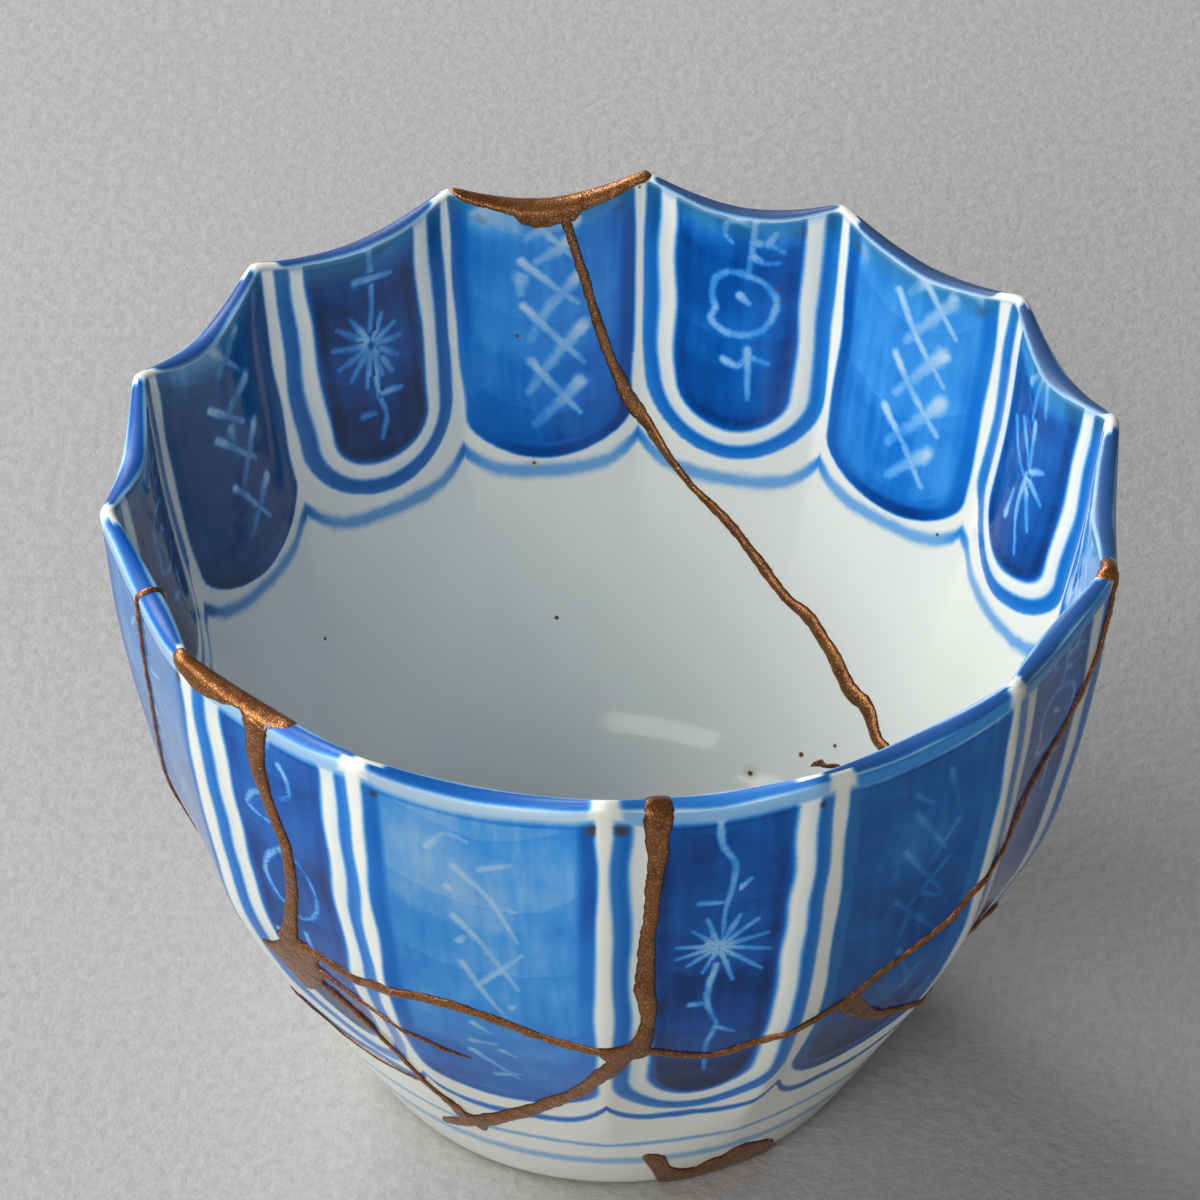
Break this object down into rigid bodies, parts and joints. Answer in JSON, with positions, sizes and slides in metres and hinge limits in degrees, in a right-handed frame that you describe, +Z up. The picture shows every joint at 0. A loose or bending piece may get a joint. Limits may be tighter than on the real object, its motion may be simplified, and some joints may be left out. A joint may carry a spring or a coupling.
{
  "type": "kintsugi sake cup",
  "caption": "Small fluted porcelain cup with a scalloped lip and blue painted panels, broken and mended with raised gold lacquer seams; holds a drink and stands on a foot ring.",
  "frame": {"origin": "centre of the foot ring on the ground plane, which is the centre of the bounding box's base", "axes": "+Z up along the cup's turning axis, -Y towards the picture's viewer, +X to the viewer's right"},
  "size_m": [0.0752, 0.0759, 0.0546],
  "materials": {
    "porcelain": "high-gloss cool white glaze over cobalt-blue hand painting, bare ground foot rim",
    "gold_lacquer": "lacquer dusted with gold powder, brown-gold, speckled, half-matt with a metallic sheen"
  },
  "bodies": {
    "root": {"cup_body": "porcelain", "foot_fill": "gold_lacquer", "rim_fill_back": "gold_lacquer", "rim_fill_left": "gold_lacquer", "rim_fill_right": "gold_lacquer", "seam_back_inside": "gold_lacquer", "seam_back_outside": "gold_lacquer", "seam_bottom_arc": "gold_lacquer", "seam_far_left": "gold_lacquer", "seam_front": "gold_lacquer", "seam_left_inside": "gold_lacquer", "seam_left_lower": "gold_lacquer", "seam_left_middle": "gold_lacquer", "seam_left_outside": "gold_lacquer", "seam_left_thin": "gold_lacquer", "seam_left_upper_inside": "gold_lacquer", "seam_left_upper_outside": "gold_lacquer", "seam_right_branch_inside": "gold_lacquer", "seam_right_branch_outside": "gold_lacquer", "seam_right_inside": "gold_lacquer", "seam_right_outside": "gold_lacquer"}
  },
  "joints": []
}
